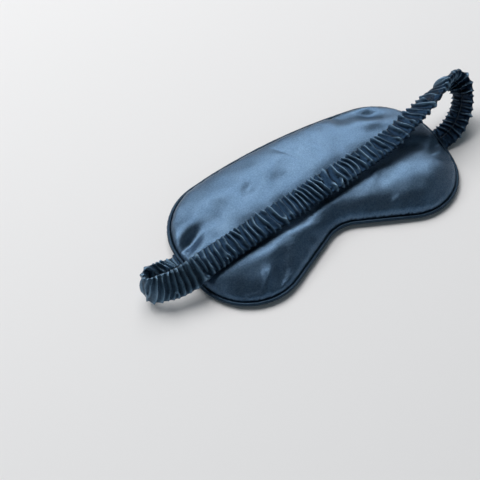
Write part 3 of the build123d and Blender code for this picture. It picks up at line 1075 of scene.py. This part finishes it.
def pleat_ridge(count, s, v, u):
    """Height of the cloth's folds, from 0 in a valley to 1 on a sharp crest; the right flank is steep."""
    share = count - np.floor(count)
    lean = FOLD_SHARPNESS[0] + FOLD_SHARPNESS[1] * value_noise(9, s / (7 * MM), v + 5, u + 3)
    ridge = np.interp(share ** lean, FOLD_PLACES, FOLD_HEIGHTS)
    size = FOLD_SIZE[0] + FOLD_SIZE[1] * value_noise(10, s / (4.0 * MM) + 5, v * 1.2 + 5, u + 3)
    right = smooth_step(*PUFF_SHARES, s / STRAP_LENGTH)
    puffs = value_noise(12, s / (3.0 * MM), v * 4.0 + 9, u + 3)
    puffs = puffs * smooth_step(*PUFF_SIDE, v) * smooth_step(0, 0.4, u)
    crumple = CRUMPLE_HEIGHT * value_noise(13, s / (1.3 * MM), v * 6.0 + 9, u * 2 + 5)
    return ridge * size + PUFF_HEIGHT * right * puffs + crumple


def sleeve_section(s, turn):
    """Across and outward places of the sleeve's skin at lengths s and turns round the section."""
    v = np.cos(turn)
    u = np.sin(turn)
    fold = pleat_ridge(pleat_count(s, v, u), s, v, u)
    gather = 0.2 + 0.8 * smooth_step(0.0, SLEEVE_GATHER, np.minimum(s, STRAP_LENGTH - s))
    under = smooth_step(0.1, -0.6, u) * smooth_step(*UNDER_STARTS, s) * smooth_step(*UNDER_ENDS, s)
    fold = fold * gather
    growth = (1 - PLEAT_SPREAD_LEAST) * smooth_step(*PLEAT_SPREAD_GROWS, s)
    spread = PLEAT_SPREAD * (PLEAT_SPREAD_LEAST + growth)
    x = np.sign(v) * np.abs(v) ** 0.8 * (SLEEVE_WIDTH / 2 + spread * fold * np.abs(v) ** 2)
    rise = SLEEVE_INSIDE + PLEAT_HEIGHT * fold * (1 - PLEAT_SQUASH * under)
    y = np.sign(u) * np.abs(u) ** 0.6 * rise
    return x + strap_shift(s), y, fold


def strap_shift(s):
    """How far the strap's body lies to one side of its middle line."""
    return SLEEVE_SHIFT * smooth_step(*SHIFT_STARTS, s) * smooth_step(*SHIFT_ENDS, s)


def sleeve_mesh(name, start, end):
    """Gathered tube from one length along the strap to another, with its long seam under it."""
    rows = max(int(round((end - start) / SLEEVE_STEP)), 8)
    s = np.linspace(start, end, rows)
    turns = np.linspace(-0.5 * math.pi + SEAM_TURN, 1.5 * math.pi - SEAM_TURN, SLEEVE_ROUND)
    grid_s, grid_turn = np.meshgrid(s, turns, indexing="ij")
    x, y, fold = sleeve_section(grid_s, grid_turn)
    shift = strap_shift(s)[:, None]
    right_x = np.stack([shift[:, 0] + a for a, _ in SEAM_ALLOWANCE[::-1]], axis=1)
    left_x = np.stack([shift[:, 0] - a for a, _ in SEAM_ALLOWANCE], axis=1)
    folded_y = np.array([b for _, b in SEAM_ALLOWANCE])
    x = np.hstack([right_x, x, left_x])
    y = np.hstack([np.tile(folded_y[::-1], (rows, 1)), y, np.tile(folded_y, (rows, 1))])
    middle, across, outward = strap_axes(s)
    points = middle[:, None] + across[:, None] * x[:, :, None] + outward[:, None] * y[:, :, None]
    faces = grid_faces(rows, x.shape[1], wrap_columns=False)
    sleeve = mesh_object(name, points.reshape(-1, 3), faces)
    hidden = len(SEAM_ALLOWANCE)
    # The fold attribute holds the folds' height plus painted light on the left loop; the strap satin paints
    # highlight on the crests from it.
    shade = sleeve.data.attributes.new("fold", "FLOAT", "POINT")
    loop_painted_light = LOOP_PAINTED_LIGHT * smooth_step(*LOOP_PAINTED_LIGHT_LENGTHS, s)[:, None]
    shade.data.foreach_set("value", np.pad(fold + loop_painted_light, ((0, 0), (hidden, hidden))).ravel())
    return sleeve


def ribbon_mesh(name, start, end, width, thickness, offset=0.0):
    """Flat ribbon inside the sleeve, from one length along the strap to another."""
    rows = max(int((end - start) / (2 * MM)), 6)
    s = np.linspace(start, end, rows)
    middle, across, outward = strap_axes(s)
    middle = middle + across * strap_shift(s)[:, None]
    half = width / 2
    edge = thickness / 2
    section = [(-half, -edge * 0.5), (-half + edge, -edge), (half - edge, -edge), (half, -edge * 0.5),
               (half, edge * 0.5), (half - edge, edge), (edge - half, edge), (-half, edge * 0.5)]
    points = np.stack([middle + across * x + outward * (offset + y) for x, y in section], axis=1)
    count = len(section)
    faces = [tuple(f) for f in grid_faces(rows, count)]
    faces += [tuple(range(count - 1, -1, -1)), tuple(range(count * (rows - 1), count * rows))]
    return mesh_object(name, points.reshape(-1, 3), faces, smooth=False)


def make_strap(materials):
    """Sleeve, elastic and seam thread, each in a left, middle and right length."""
    left_tip = STRAP_LENGTHS[np.argmin(STRAP_POINTS[:, 0])]
    right_tip = STRAP_LENGTHS[np.argmax(STRAP_POINTS[:, 0])]
    spans = {"left": (0.0, left_tip), "middle": (left_tip, right_tip), "right": (right_tip, STRAP_LENGTH)}
    for side, (start, end) in spans.items():
        sleeve = sleeve_mesh(f"sleeve_{side}", start, end)
        give(sleeve, materials["strap_satin"])
        elastic = ribbon_mesh(f"elastic_{side}", start, end, ELASTIC_WIDTH, ELASTIC_THICKNESS)
        give(elastic, materials["elastic"])
        seam = ribbon_mesh(f"sleeve_seam_{side}", start, end, THREAD_WIDTH, THREAD_THICKNESS, THREAD_OFFSET)
        give(seam, materials["thread"])
        for piece in (sleeve, elastic, seam):
            join_strap(piece, side)
        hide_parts("strap_sleeve")
        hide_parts("strap_elastic")
        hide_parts("sleeve_seam_thread")


def join_strap(piece, side):
    """Rides on the strap, or stretches between the pad's seam and the loop's tip."""
    if side == "middle":
        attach(piece, "strap")
        return
    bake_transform(piece)


# ---------------------------------------------------------------- carried-over nodes

def dress_nodes(materials):
    """Finishes of the CAD nodes that stay."""
    slots = {row["node"]: row["material_slot"] for row in frame["record"]["subparts"]}
    for name, node in frame["nodes"].items():
        if not node.hide_render:
            give(node, materials[slots[name]])
            node.data.shade_smooth()


make_camera()
make_light()
make_floor()
materials = make_materials()
eye_side = make_eye_side_panel(materials["satin"])
outer_side = make_outer_panel(materials["satin"])
make_wadding("eye_side_wadding", eye_side, 1, "upper_wadding", materials["wadding"])
make_wadding("outer_side_wadding", outer_side, -1, "lower_wadding", materials["wadding"])
make_lining(materials["lining"])
make_piping(materials)
make_strap(materials)
dress_nodes(materials)
